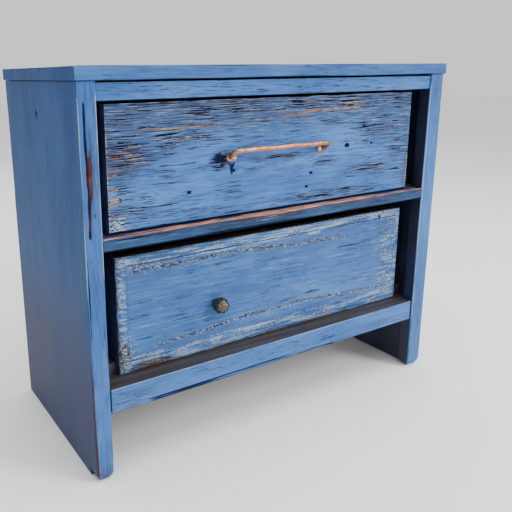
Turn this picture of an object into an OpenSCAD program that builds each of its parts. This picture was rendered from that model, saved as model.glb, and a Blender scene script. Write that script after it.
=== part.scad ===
// Low two-drawer dresser: a face-framed plank case with two wooden drawers.
// X runs across the width, Y from front to back, Z up. The origin is on the floor,
// under the middle of the box around everything.

/* [Case] */
// Width over the outer faces of the two stiles
case_w = 700; // [590:1:850]
// Depth from the stiles' front faces to the side panels' back edges
case_d = 323.5; // [250:1:400]
// Height from the floor to the upper face of the top board
case_h = 588.5; // [480:1:720]
// Thickness of the top board
top_t = 18.5; // [14:0.5:30]
// How far the top board stands out past the stiles at the front and the sides
top_overhang = 3; // [0:0.5:20]
// Thickness of the side panels
panel_t = 19; // [15:0.5:22]
// Thickness of the back panel
back_t = 8; // [4:0.5:12]

/* [Face frame] */
// Width of the left stile
stile_left_w = 26; // [24:0.5:60]
// Width of the right stile
stile_right_w = 32; // [24:0.5:60]
// Thickness of the stiles and of the middle rail
frame_t = 25; // [19:0.5:32]
// Height of the top rail
top_rail_h = 24; // [18:0.5:60]
// Gap between the top rail and the top board
top_rail_gap = 2; // [0:0.5:6]
// Height of the middle rail
middle_rail_h = 19.5; // [16:0.5:40]
// Height of the bottom rail
bottom_rail_h = 38; // [34:0.5:70]
// Gap between each end of the bottom rail and the stile beside it
bottom_rail_gap = 2.5; // [0:0.5:6]
// How far the top and bottom rails stand back from the stiles' front faces
rail_setback = 2.5; // [0:0.5:5]
// Clear height under the bottom rail
leg_h = 103.5; // [60:0.5:140]
// Clear height of the lower drawer's opening
lower_opening_h = 204; // [120:1:240]

/* [Shelf, runners and guides] */
// Thickness of the bottom shelf
shelf_t = 18; // [15:0.5:22]
// Width of the runners and kickers, measured in from the side panels
runner_w = 75; // [60:1:100]
// Depth of the housing in each side panel that holds a runner
housing_depth = 6; // [3:0.5:9]
// How far the undersides of the kickers and the rear cleat are above the top rail's
kicker_rise = 4; // [1:0.5:8]
// Height of the guides beside the drawers
guide_h = 18; // [12:0.5:30]
// How far the guides' front ends stand behind the face frame
guide_setback = 20; // [0:1:60]
// Width and height of the cleats under the shelf
cleat_size = 18; // [15:0.5:20]
// Width of each stop block behind the upper drawer
stop_w = 25; // [15:1:40]

/* [Drawers] */
// How far the upper drawer's face stands behind the stiles' front faces
upper_recess = 12; // [0:0.5:24]
// How far the lower drawer's face stands behind the stiles' front faces
lower_recess = 30; // [26:0.5:45]
// Gap between the left stile and the upper drawer
upper_gap_left = 15; // [4:0.5:40]
// Gap between the upper drawer and the right stile
upper_gap_right = 35; // [4:0.5:40]
// Gap between the left stile and the lower drawer
lower_gap_left = 31; // [4:0.5:40]
// Gap between the lower drawer and the right stile
lower_gap_right = 15; // [4:0.5:40]
// Gap between the top of the upper drawer's front and the top rail
upper_gap_top = 4; // [2:0.5:30]
// Gap between the top of the lower drawer's front and the middle rail
lower_gap_top = 21; // [2:0.5:40]
// Thickness of the drawer fronts
front_t = 19; // [17:0.5:26]
// Depth of the laps in the back of each front that take the sides' ends
lap_depth = 8; // [5:0.5:9]
// Thickness of the drawers' sides and backs
box_t = 12; // [9:0.5:15]
// Thickness of the drawers' bottom panels
bottom_t = 6; // [4:0.5:8]
// Height of the bottom panel above the drawer side's lower edge
bottom_rise = 8; // [5:0.5:14]
// How much lower the sides stop than the front
side_drop = 5; // [2:0.5:30]
// Width of the moulding along the top and sides of the lower front
moulding_w = 14; // [6:0.5:24]
// Width of the moulding along the bottom of the lower front
moulding_low_w = 26; // [6:0.5:34]
// How far the moulding falls back from the field to the edge
moulding_fall = 6; // [3:0.5:7]
// Depth of the square step beside the field
moulding_step = 1.5; // [0.5:0.25:2.5]

/* [Pull and knob] */
// Diameter of the pull's bent rod
pull_d = 8; // [6:0.5:12]
// Distance between the middles of the pull's two legs
pull_span = 186; // [120:1:260]
// Distance from the drawer's face to the middle of the rod
pull_standoff = 16; // [14:0.5:35]
// How far the rod is above the pull's feet
pull_drop = 10.5; // [6:0.5:24]
// Height of the pull's feet above the middle of the upper front
pull_rise = 3; // [-10:1:10]
// Place of the pull's middle, to the right of the middle of the upper front
pull_shift = -6; // [-60:1:60]
// Diameter of the ball of the knob
knob_d = 26; // [18:0.5:40]
// Distance from the drawer's face to the front of the knob
knob_reach = 26; // [26:0.5:45]
// Place of the knob, to the right of the middle of the lower front
knob_shift = -128; // [-150:1:150]
// Height of the knob above the middle of the lower front
knob_rise = -11; // [-15:1:20]

/* [Fits] */
// Gap under a drawer and beside a guide, where wood slides on wood
slide_gap = 0.5; // [0.3:0.1:1.5]
// Sideways gap between a drawer and its guides
guide_gap = 1.5; // [0.5:0.1:4]
// Gap between a closed drawer and what stops it
stop_gap = 0.4; // [0.3:0.1:2]
// Gap around a panel in its groove or housing
groove_gap = 0.2; // [0.1:0.05:0.5]
// Gap around a nail, screw or dowel in its hole
hole_gap = 0.05; // [0.02:0.01:0.1]

/* [Hidden] */
$fn = 48;
eps = 0.01;

blue = [0.37, 0.52, 0.74];
navy = [0.20, 0.28, 0.45];
pine = [0.72, 0.55, 0.38];
ply = [0.66, 0.50, 0.36];
copper = [0.72, 0.40, 0.28];
bronze = [0.28, 0.26, 0.22];
steel = [0.75, 0.76, 0.78];

// Across the width
x_left = -case_w / 2;
x_right = case_w / 2;
inner_left = x_left + panel_t;
inner_right = x_right - panel_t;
open_left = x_left + stile_left_w;
open_right = x_right - stile_right_w;
rebate_w = panel_t / 2;

// Up the height
bottom_rail_top = leg_h + bottom_rail_h;
middle_rail_z = bottom_rail_top + lower_opening_h;
middle_rail_top = middle_rail_z + middle_rail_h;
top_z = case_h - top_t;
top_rail_z = top_z - top_rail_gap - top_rail_h;
shelf_z = bottom_rail_top - shelf_t;
kicker_z = top_rail_z + kicker_rise;
kicker_h = top_z - kicker_z;

// From front to back, with zero at the stiles' front faces
rail_t = frame_t - rail_setback;
back_y = case_d - back_t;
drawer_len = back_y - lower_recess - stop_gap;
stop_len = lower_recess - upper_recess;
front_most = min(-top_overhang, upper_recess - pull_standoff - pull_d / 2, lower_recess - knob_reach);
frame_y = -(front_most + case_d) / 2;

// Drawers: left edge, right edge, lower edge, height of the front
upper_x0 = open_left + upper_gap_left;
upper_x1 = open_right - upper_gap_right;
upper_z = middle_rail_top + slide_gap;
upper_h = top_rail_z - upper_gap_top - upper_z;
lower_x0 = open_left + lower_gap_left;
lower_x1 = open_right - lower_gap_right;
lower_z = bottom_rail_top + slide_gap;
lower_h = middle_rail_z - lower_gap_top - lower_z;
groove_depth = box_t / 2;
back_drop = 4;

// Fasteners
dowel_d = 8;
dowel_len = 36;
nail_d = 2;
nail_head_d = 4.5;
nail_head_t = 0.8;
screw_d = 4;
screw_head_d = 8;
screw_head_t = 2.6;
back_nail_len = 24;
rail_nail_len = 45;
drawer_nail_len = 26;
nail_set = 1.5;
nail_edge = 20;
nail_inset = 60;
screw_inset = 30;
screw_bite = 0.6;
top_screw_len = kicker_h + top_t * screw_bite;
cleat_screw_len = cleat_size + panel_t * screw_bite;
guide_screw_len = guide_h + shelf_t * screw_bite;
knob_screw_d = 4;
knob_screw_bite = 12;
knob_screw_head_d = 8.5;
knob_screw_head_t = 2.4;

// Pull and knob
pull_r = pull_d / 2;
pull_x = (upper_x0 + upper_x1) / 2 + pull_shift;
pull_z = upper_z + upper_h / 2 + pull_rise;
pull_lean = atan2(pull_drop, pull_standoff);
pull_leg = norm([pull_drop, pull_standoff]);
pull_bend = pull_d;
lug_r = 6;
lug_t = 2.5;
lug_reach = 7.5;
lug_screw_len = 16;
lug_screw_d = 3.6;
lug_head_d = 6;
lug_head_sink = 1.2;
knob_x = (lower_x0 + lower_x1) / 2 + knob_shift;
knob_z = lower_z + lower_h / 2 + knob_rise;
knob_neck_d = 11;
knob_foot_d = 17;
knob_foot_t = 2.5;

// A board from one corner to the opposite one, with y measured from the stiles' front faces
module board(x, y, z)
    translate([x[0], frame_y + y[0], z[0]]) cube([x[1] - x[0], y[1] - y[0], z[1] - z[0]]);

// A pin along an axis, starting at a point and running towards it
module along_x(at, way) translate([at[0], frame_y + at[1], at[2]]) rotate([0, 90 * way, 0]) children();
module along_y(at, way) translate([at[0], frame_y + at[1], at[2]]) rotate([-90 * way, 0, 0]) children();
module upwards(at) translate([at[0], frame_y + at[1], at[2]]) children();

// Evenly spaced places between two ends
function spread(a, b, n) = [for (i = [0:n - 1]) a + (b - a) * i / (n - 1)];

// A flat-headed nail and a countersunk screw, each with its head's face at zero;
// a positive gap makes the hole for it
module nail(len, gap = 0) {
    translate([0, 0, gap > 0 ? -eps : 0]) cylinder(d = nail_d + 2 * gap, h = len + gap);
    translate([0, 0, gap > 0 ? -eps : 0]) cylinder(d = nail_head_d + 2 * gap, h = nail_head_t + gap);
}
module wood_screw(len, gap = 0) {
    translate([0, 0, gap > 0 ? -eps : 0]) cylinder(d = screw_d + 2 * gap, h = len + gap);
    translate([0, 0, gap > 0 ? -eps : 0])
        cylinder(d1 = screw_head_d + 2 * gap, d2 = screw_d + 2 * gap, h = screw_head_t + gap);
}

// ---- Places of the fasteners ----
module all_dowels(gap = 0)
    for (z = [top_rail_z + top_rail_h / 2, middle_rail_z + middle_rail_h / 2])
        for (x = [open_left, open_right])
            along_x([x - dowel_len / 2 - gap, rail_setback + rail_t / 2, z], 1)
                cylinder(d = dowel_d + 2 * gap, h = dowel_len + 2 * gap);

module all_top_screws(gap = 0) {
    for (x = [inner_left + runner_w / 2, inner_right - runner_w / 2])
        for (y = spread(frame_t + screw_inset, back_y - cleat_size - screw_inset, 3))
            upwards([x, y, kicker_z]) wood_screw(top_screw_len, gap);
    for (x = spread(inner_left + runner_w + screw_inset, inner_right - runner_w - screw_inset, 3))
        upwards([x, back_y - cleat_size / 2, kicker_z]) wood_screw(top_screw_len, gap);
}

module all_cleat_screws(gap = 0)
    for (y = spread(frame_t + screw_inset, back_y - screw_inset, 3)) {
        along_x([inner_left + cleat_size, y, shelf_z - cleat_size / 2], -1) wood_screw(cleat_screw_len, gap);
        along_x([inner_right - cleat_size, y, shelf_z - cleat_size / 2], 1) wood_screw(cleat_screw_len, gap);
    }

// Each guide's middle in x, with the height of what it lies on
guide_places = [
    [(inner_left + upper_x0 - guide_gap) / 2, middle_rail_top],
    [(inner_right + upper_x1 + guide_gap) / 2, middle_rail_top],
    [(inner_left + lower_x0 - guide_gap) / 2, bottom_rail_top],
    [(inner_right + lower_x1 + guide_gap) / 2, bottom_rail_top]
];
module all_guide_screws(gap = 0)
    for (g = guide_places)
        for (y = spread(frame_t + guide_setback + screw_inset, back_y - screw_inset, 3))
            translate([g[0], frame_y + y, g[1] + guide_h]) rotate([180, 0, 0])
                wood_screw(guide_screw_len, gap);

module all_back_nails(gap = 0) {
    for (x = spread(inner_left + screw_inset, inner_right - screw_inset, 6))
        for (z = [shelf_z + shelf_t / 2, top_z - kicker_h / 2])
            along_y([x, case_d, z], -1) nail(back_nail_len, gap);
    for (x = [inner_left - rebate_w / 2, inner_right + rebate_w / 2])
        for (z = spread(shelf_z + nail_inset, kicker_z - nail_inset, 4))
            along_y([x, case_d, z], -1) nail(back_nail_len, gap);
}

module all_rail_nails(gap = 0)
    for (x = spread(open_left + nail_inset, open_right - nail_inset, 4))
        along_y([x, rail_setback + nail_set, shelf_z + shelf_t / 2], 1) {
            nail(rail_nail_len, gap);
            if (gap > 0) translate([0, 0, -nail_set - eps]) cylinder(d = nail_head_d, h = nail_set + 2 * eps);
        }

// ---- Case ----
module top_board() color(blue) difference() {
    board([x_left - top_overhang, x_right + top_overhang], [-top_overhang, case_d], [top_z, case_h]);
    all_top_screws(hole_gap);
}

// A side panel, with its rebate for the back panel and its housing for the runner
module side_panel(outer, inner, way) color(blue) difference() {
    board([min(outer, inner), max(outer, inner)], [frame_t, case_d], [0, top_z]);
    rebate = inner - way * rebate_w;
    board([min(rebate, inner + way), max(rebate, inner + way)],
          [back_y - groove_gap, case_d + 1], [shelf_z - groove_gap, top_z + 1]);
    housing = inner - way * (housing_depth + groove_gap);
    board([min(housing, inner + way), max(housing, inner + way)],
          [frame_t - 1, back_y + 1], [middle_rail_z - groove_gap, middle_rail_top + groove_gap]);
    all_cleat_screws(hole_gap);
    all_back_nails(hole_gap);
}
module side_panel_left() side_panel(x_left, inner_left, 1);
module side_panel_right() side_panel(x_right, inner_right, -1);

module stile_left() color(blue) difference() {
    board([x_left, open_left], [0, frame_t], [0, top_z]);
    all_dowels(hole_gap);
}
module stile_right() color(blue) difference() {
    board([open_right, x_right], [0, frame_t], [0, top_z]);
    all_dowels(hole_gap);
}
module top_rail() color(blue) difference() {
    board([open_left, open_right], [rail_setback, frame_t], [top_rail_z, top_rail_z + top_rail_h]);
    all_dowels(hole_gap);
}
module middle_rail() color(blue) difference() {
    board([open_left, open_right], [0, frame_t], [middle_rail_z, middle_rail_top]);
    all_dowels(hole_gap);
}
module bottom_rail() color(blue) difference() {
    board([open_left + bottom_rail_gap, open_right - bottom_rail_gap],
          [rail_setback, frame_t], [leg_h, bottom_rail_top]);
    all_rail_nails(hole_gap);
}

module bottom_shelf() color(navy) difference() {
    board([inner_left, inner_right], [frame_t, back_y], [shelf_z, bottom_rail_top]);
    all_rail_nails(hole_gap);
    all_guide_screws(hole_gap);
    all_back_nails(hole_gap);
}
module back_panel() color(ply) difference() {
    board([inner_left - rebate_w + groove_gap, inner_right + rebate_w - groove_gap],
          [back_y, case_d], [shelf_z, top_z]);
    all_back_nails(hole_gap);
}
module rear_cleat() color(pine) difference() {
    board([inner_left + runner_w, inner_right - runner_w],
          [back_y - cleat_size, back_y], [kicker_z, top_z]);
    all_top_screws(hole_gap);
    all_back_nails(hole_gap);
}
module shelf_cleat(inner, way) color(pine) difference() {
    board([min(inner, inner + way * cleat_size), max(inner, inner + way * cleat_size)],
          [frame_t, back_y], [shelf_z - cleat_size, shelf_z]);
    all_cleat_screws(hole_gap);
}
module shelf_cleat_left() shelf_cleat(inner_left, 1);
module shelf_cleat_right() shelf_cleat(inner_right, -1);

// A runner carries the upper drawer and stops the lower one from tipping
module runner(inner, way) color(pine) difference() {
    outer_edge = inner - way * housing_depth;
    inner_edge = inner + way * runner_w;
    board([min(outer_edge, inner_edge), max(outer_edge, inner_edge)],
          [frame_t, back_y], [middle_rail_z, middle_rail_top]);
    all_guide_screws(hole_gap);
    all_back_nails(hole_gap);
}
module runner_left() runner(inner_left, 1);
module runner_right() runner(inner_right, -1);

module kicker(inner, way) color(pine) difference() {
    board([min(inner, inner + way * runner_w), max(inner, inner + way * runner_w)],
          [frame_t, back_y], [kicker_z, top_z]);
    all_top_screws(hole_gap);
    all_back_nails(hole_gap);
}
module kicker_left() kicker(inner_left, 1);
module kicker_right() kicker(inner_right, -1);

module guide(a, b, z) color(pine) difference() {
    board([min(a, b), max(a, b)], [frame_t + guide_setback, back_y], [z, z + guide_h]);
    all_guide_screws(hole_gap);
}
module upper_guide_left() guide(inner_left, upper_x0 - guide_gap, middle_rail_top);
module upper_guide_right() guide(upper_x1 + guide_gap, inner_right, middle_rail_top);
module lower_guide_left() guide(inner_left, lower_x0 - guide_gap, bottom_rail_top);
module lower_guide_right() guide(lower_x1 + guide_gap, inner_right, bottom_rail_top);

// The stop blocks stand on the runners and meet the upper drawer's back
module stop_block(x0) color(pine)
    board([x0, x0 + stop_w], [back_y - stop_len, back_y], [middle_rail_top, middle_rail_top + 2 * guide_h]);
module stop_block_left() stop_block(upper_x0);
module stop_block_right() stop_block(upper_x1 - stop_w);

module rail_dowels() color(pine) all_dowels();
module top_screws() color(steel) all_top_screws();
module cleat_screws() color(steel) all_cleat_screws();
module guide_screws() color(steel) all_guide_screws();
module back_nails() color(steel) all_back_nails();
module rail_nails() color(steel) all_rail_nails();

// ---- Drawers ----
// Nails through a drawer's sides into its front and back, and up through its bottom
module drawer_nails(x, recess, z, h, gap = 0) {
    for (y = [recess + front_t - lap_depth / 2, recess + drawer_len - box_t / 2])
        for (level = spread(z + bottom_rise + bottom_t + nail_edge, z + h - side_drop - nail_edge, 3)) {
            along_x([x[0], y, level], 1) nail(drawer_nail_len, gap);
            along_x([x[1], y, level], -1) nail(drawer_nail_len, gap);
        }
    for (across = spread(x[0] + nail_inset, x[1] - nail_inset, 4))
        upwards([across, recess + drawer_len - box_t / 2, z + bottom_rise + groove_gap / 2])
            nail(drawer_nail_len, gap);
}

// The laps and the groove in the back of a front, for its sides and bottom panel
module front_joints(x, recess, z, h) {
    y0 = recess + front_t;
    board([x[0] - 1, x[0] + box_t], [y0 - lap_depth, y0 + 1], [z - 1, z + h - side_drop]);
    board([x[1] - box_t, x[1] + 1], [y0 - lap_depth, y0 + 1], [z - 1, z + h - side_drop]);
    board([x[0] + groove_depth, x[1] - groove_depth],
          [y0 - groove_depth, y0 + 1],
          [z + bottom_rise, z + bottom_rise + bottom_t + groove_gap]);
}

module drawer_side(x, inside, recess, z, h) color(pine) difference() {
    board(x, [recess + front_t - lap_depth, recess + drawer_len], [z, z + h - side_drop]);
    edge = inside > 0 ? x[1] - groove_depth : x[0] - 1;
    board([edge, edge + groove_depth + 1],
          [recess + front_t - lap_depth - 1, recess + drawer_len + 1],
          [z + bottom_rise, z + bottom_rise + bottom_t + groove_gap]);
}
module drawer_back(x, recess, z, h) color(pine)
    board([x[0] + box_t, x[1] - box_t],
          [recess + drawer_len - box_t, recess + drawer_len],
          [z + bottom_rise + bottom_t + groove_gap, z + h - side_drop - back_drop]);
module drawer_bottom(x, recess, z) color(ply)
    board([x[0] + box_t - groove_depth + groove_gap, x[1] - box_t + groove_depth - groove_gap],
          [recess + front_t - groove_depth + groove_gap, recess + drawer_len],
          [z + bottom_rise + groove_gap / 2, z + bottom_rise + groove_gap / 2 + bottom_t]);

// A moulded cross-section: at each end a quarter round and a square step, with the field between them
function thumbnail(len, first_w, last_w) = concat(
    [[0, front_t]],
    [for (a = [0:15:90])
        [first_w * (1 - cos(a)), moulding_fall - (moulding_fall - moulding_step) * sin(a)]],
    [[first_w, 0]],
    [[len - last_w, 0]],
    [for (a = [90:-15:0])
        [len - last_w * (1 - cos(a)), moulding_fall - (moulding_fall - moulding_step) * sin(a)]],
    [[len, front_t]]
);
// A front whose four edges are moulded and meet in mitres
module moulded_front(x, recess, z, h) translate([x[0], frame_y + recess, z]) intersection() {
    linear_extrude(h) polygon(thumbnail(x[1] - x[0], moulding_w, moulding_w));
    rotate([90, 0, 90]) linear_extrude(x[1] - x[0])
        polygon([for (p = thumbnail(h, moulding_low_w, moulding_w)) [p[1], p[0]]]);
}

upper_x = [upper_x0, upper_x1];
lower_x = [lower_x0, lower_x1];

module upper_drawer_front() color(blue) difference() {
    board(upper_x, [upper_recess, upper_recess + front_t], [upper_z, upper_z + upper_h]);
    front_joints(upper_x, upper_recess, upper_z, upper_h);
    drawer_nails(upper_x, upper_recess, upper_z, upper_h, hole_gap);
    all_pull_screws(hole_gap);
}
module upper_drawer_side_left() difference() {
    drawer_side([upper_x0, upper_x0 + box_t], 1, upper_recess, upper_z, upper_h);
    drawer_nails(upper_x, upper_recess, upper_z, upper_h, hole_gap);
}
module upper_drawer_side_right() difference() {
    drawer_side([upper_x1 - box_t, upper_x1], -1, upper_recess, upper_z, upper_h);
    drawer_nails(upper_x, upper_recess, upper_z, upper_h, hole_gap);
}
module upper_drawer_back() difference() {
    drawer_back(upper_x, upper_recess, upper_z, upper_h);
    drawer_nails(upper_x, upper_recess, upper_z, upper_h, hole_gap);
}
module upper_drawer_bottom() difference() {
    drawer_bottom(upper_x, upper_recess, upper_z);
    drawer_nails(upper_x, upper_recess, upper_z, upper_h, hole_gap);
}
module upper_drawer_nails() color(steel) drawer_nails(upper_x, upper_recess, upper_z, upper_h);

module lower_drawer_front() color(blue) difference() {
    moulded_front(lower_x, lower_recess, lower_z, lower_h);
    front_joints(lower_x, lower_recess, lower_z, lower_h);
    drawer_nails(lower_x, lower_recess, lower_z, lower_h, hole_gap);
    knob_hole();
}
module lower_drawer_side_left() difference() {
    drawer_side([lower_x0, lower_x0 + box_t], 1, lower_recess, lower_z, lower_h);
    drawer_nails(lower_x, lower_recess, lower_z, lower_h, hole_gap);
}
module lower_drawer_side_right() difference() {
    drawer_side([lower_x1 - box_t, lower_x1], -1, lower_recess, lower_z, lower_h);
    drawer_nails(lower_x, lower_recess, lower_z, lower_h, hole_gap);
}
module lower_drawer_back() difference() {
    drawer_back(lower_x, lower_recess, lower_z, lower_h);
    drawer_nails(lower_x, lower_recess, lower_z, lower_h, hole_gap);
}
module lower_drawer_bottom() difference() {
    drawer_bottom(lower_x, lower_recess, lower_z);
    drawer_nails(lower_x, lower_recess, lower_z, lower_h, hole_gap);
}
module lower_drawer_nails() color(steel) drawer_nails(lower_x, lower_recess, lower_z, lower_h);

// ---- Pull ----
// Half of the bent rod: half the bar, the bend and the leg, in the leg's leaning plane
module pull_half(way) mirror([way < 0 ? 1 : 0, 0, 0]) {
    bar = pull_span / 2 - pull_bend;
    rotate([0, 90, 0]) cylinder(r = pull_r, h = bar);
    translate([bar, pull_bend, 0]) rotate([0, 0, -90])
        rotate_extrude(angle = 90) translate([pull_bend, 0]) circle(r = pull_r);
    translate([pull_span / 2, pull_bend, 0]) rotate([-90, 0, 0])
        cylinder(r = pull_r, h = pull_leg - pull_bend + pull_d);
}
// The rod leans so that its legs run back and down; its feet are hammered into flat lugs
module copper_pull() color(copper) difference() {
    union() {
        translate([pull_x, frame_y + upper_recess - pull_standoff, pull_z + pull_drop])
            rotate([-pull_lean, 0, 0]) {
                pull_half(1);
                pull_half(-1);
            }
        for (way = [-1, 1])
            along_y([pull_x + way * pull_span / 2, upper_recess, pull_z], -1) {
                cylinder(r = lug_r, h = lug_t);
                translate([-way * lug_reach, 0, 0]) cylinder(r = lug_r, h = lug_t);
                translate([-way * lug_reach / 2 - lug_reach / 2, -lug_r, 0])
                    cube([lug_reach, 2 * lug_r, lug_t]);
            }
    }
    board(upper_x, [upper_recess, upper_recess + front_t + pull_d], [upper_z, upper_z + upper_h]);
    all_pull_screws(hole_gap);
}
// Dome-headed screws through the lugs into the drawer front
module all_pull_screws(gap = 0)
    for (way = [-1, 1])
        along_y([pull_x + way * (pull_span / 2 - lug_reach), upper_recess - lug_t, pull_z], 1) {
            cylinder(d = lug_screw_d + 2 * gap, h = lug_screw_len + gap);
            if (gap == 0) lug_screw_head();
        }
module lug_screw_head() intersection() {
    translate([0, 0, lug_head_sink]) sphere(d = lug_head_d);
    translate([0, 0, -lug_head_d]) cylinder(d = lug_head_d + 1, h = lug_head_d);
}
module pull_screws() color(steel) all_pull_screws();

// ---- Knob ----
module knob_hole() along_y([knob_x, lower_recess - eps, knob_z], 1)
    cylinder(d = knob_screw_d + 4 * hole_gap, h = front_t + 1);
module round_knob() color(bronze) along_y([knob_x, lower_recess, knob_z], -1) difference() {
    union() {
        translate([0, 0, knob_reach - knob_d / 2]) sphere(d = knob_d);
        cylinder(d = knob_neck_d, h = knob_reach - knob_d / 2);
        cylinder(d = knob_foot_d, h = knob_foot_t);
    }
    translate([0, 0, -eps]) cylinder(d = knob_screw_d + 2 * hole_gap, h = knob_screw_bite + 1);
}
// A machine screw from inside the drawer into the knob
module knob_screw() color(steel) along_y([knob_x, lower_recess + front_t, knob_z], -1) {
    cylinder(d = knob_screw_d, h = front_t + knob_screw_bite);
    translate([0, 0, -knob_screw_head_t]) cylinder(d = knob_screw_head_d, h = knob_screw_head_t);
}

top_board();
side_panel_left();
side_panel_right();
stile_left();
stile_right();
top_rail();
middle_rail();
bottom_rail();
bottom_shelf();
back_panel();
rear_cleat();
shelf_cleat_left();
shelf_cleat_right();
runner_left();
runner_right();
kicker_left();
kicker_right();
upper_guide_left();
upper_guide_right();
lower_guide_left();
lower_guide_right();
stop_block_left();
stop_block_right();
rail_dowels();
top_screws();
cleat_screws();
guide_screws();
back_nails();
rail_nails();
upper_drawer_front();
upper_drawer_side_left();
upper_drawer_side_right();
upper_drawer_back();
upper_drawer_bottom();
upper_drawer_nails();
copper_pull();
pull_screws();
lower_drawer_front();
lower_drawer_side_left();
lower_drawer_side_right();
lower_drawer_back();
lower_drawer_bottom();
lower_drawer_nails();
round_knob();
knob_screw();
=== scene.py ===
import math

import bmesh
import bpy
from mathutils import Matrix, Vector, noise

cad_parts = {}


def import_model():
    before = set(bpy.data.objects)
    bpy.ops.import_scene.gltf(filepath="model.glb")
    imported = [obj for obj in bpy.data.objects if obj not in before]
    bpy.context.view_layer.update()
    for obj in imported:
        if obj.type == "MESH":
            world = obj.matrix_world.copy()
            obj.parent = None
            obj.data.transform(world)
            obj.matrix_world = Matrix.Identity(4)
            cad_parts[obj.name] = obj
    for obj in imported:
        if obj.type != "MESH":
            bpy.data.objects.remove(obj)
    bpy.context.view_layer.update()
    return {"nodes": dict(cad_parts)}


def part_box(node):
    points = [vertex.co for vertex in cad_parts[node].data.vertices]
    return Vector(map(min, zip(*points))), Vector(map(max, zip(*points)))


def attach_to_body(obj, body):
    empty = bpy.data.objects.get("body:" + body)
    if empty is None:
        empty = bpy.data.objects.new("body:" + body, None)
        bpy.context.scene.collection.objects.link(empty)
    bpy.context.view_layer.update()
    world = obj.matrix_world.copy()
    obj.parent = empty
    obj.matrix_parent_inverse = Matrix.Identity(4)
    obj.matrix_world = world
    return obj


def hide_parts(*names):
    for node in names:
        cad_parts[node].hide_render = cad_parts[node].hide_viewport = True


bl_info = {
    "name": "Worn Blue Dresser",
    "version": (1, 0, 0),
    "blender": (4, 5, 0),
    "location": "View3D > Sidebar > Dresser",
    "description": "Builds the planks, drawer fronts, pull and knob of a worn blue dresser",
    "category": "Object",
}

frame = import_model()
MM = 0.001
FAR = 9.0  # beyond every piece
WHOLE, NOWHERE = (-FAR, FAR), (-FAR, 1 - FAR)
TIGHT = 0.2 * MM  # clearance of a groove or a rebate around the sheet in it
THROUGH = 0.01  # how far a cutter passes a piece's edge


# ---- Settings -------------------------------------------------------------------------------

def length(name, description, value):
    return bpy.props.FloatProperty(name=name, description=description, default=value, unit="LENGTH")


def colour(name, description, value):
    return bpy.props.FloatVectorProperty(
        name=name, description=description, subtype="COLOR", size=3, min=0, max=1, default=value)


class DresserWood(bpy.types.PropertyGroup):
    """Sizes that shape the planks"""
    arris: length("Arris", "Rounding of a plank's edges", 1.3 * MM)
    grid: length("Grid", "Spacing of the points on a plank's faces", 4 * MM)
    front_grid: length("Front grid", "Spacing of the points up a drawer front", 0.65 * MM)
    unevenness: length("Unevenness", "How far a plank's faces dip", 0.35 * MM)
    crack_depth: length("Crack depth", "Depth of the cracks in the weathered front", 1.6 * MM)
    moulding_width: length("Moulding width", "Width of the moulding around the lower front", 14 * MM)
    moulding_low_width: length(
        "Lower moulding width", "Width of the moulding along the foot of the lower front", 26 * MM)
    moulding_fall: length("Moulding fall", "How far the moulding falls back to the edge", 6 * MM)
    moulding_step: length("Moulding step", "Depth of the square step beside the field", 1.5 * MM)


class DresserColours(bpy.types.PropertyGroup):
    """Colours of the paint, the wood under it and the metal"""
    paint: colour("Paint", "Blue paint where it is sound", (0.026, 0.104, 0.318))
    paint_light: colour("Rubbed paint", "Blue paint where it is rubbed thin", (0.064, 0.180, 0.445))
    # This navy is also the base of the painted shade on faces that look inwards and in the gaps round the
    # drawers
    paint_dark: colour("Undercoat", "Navy under the blue and in its grain", (0.008, 0.014, 0.040))
    chalk: colour("Chalky paint", "Chalky flecks beside cracks and on mouldings", (0.36, 0.43, 0.49))
    dusk: colour("Faded paint", "Purplish grey low on the sides", (0.040, 0.044, 0.088))
    orange_wood: colour("Bare pine", "Bare wood on rubbed edges", (0.40, 0.19, 0.14))
    tan_wood: colour("Tan wood", "Bare wood on the drawer fronts", (0.36, 0.28, 0.17))
    maroon: colour("Old red paint", "Dark red beside bare wood", (0.070, 0.015, 0.012))
    pine: colour("Inside pine", "Unpainted wood inside the case", (0.30, 0.17, 0.08))
    plywood: colour("Plywood", "Back panel and drawer bottoms", (0.40, 0.25, 0.13))
    blue_chalk: colour("Rubbed moulding", "Bluish white where the mouldings are rubbed", (0.33, 0.46, 0.62))
    # The stain is also painted shade on the bottom rail's top and the lower front's top edge
    stain: colour("Stain", "Dark stain on the bottom shelf", (0.042, 0.036, 0.042))
    copper: colour("Copper", "The bent pull", (0.46, 0.215, 0.165))
    bronze: colour("Bronze", "The round knob", (0.036, 0.038, 0.032))
    steel: colour("Steel", "Screws", (0.62, 0.63, 0.65))
    rust: colour("Iron", "Nails that have darkened with age", (0.060, 0.045, 0.038))


def wood():
    return bpy.context.scene.dresser_wood


def tones():
    return bpy.context.scene.dresser_colours


# ---- Node building --------------------------------------------------------------------------

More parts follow.
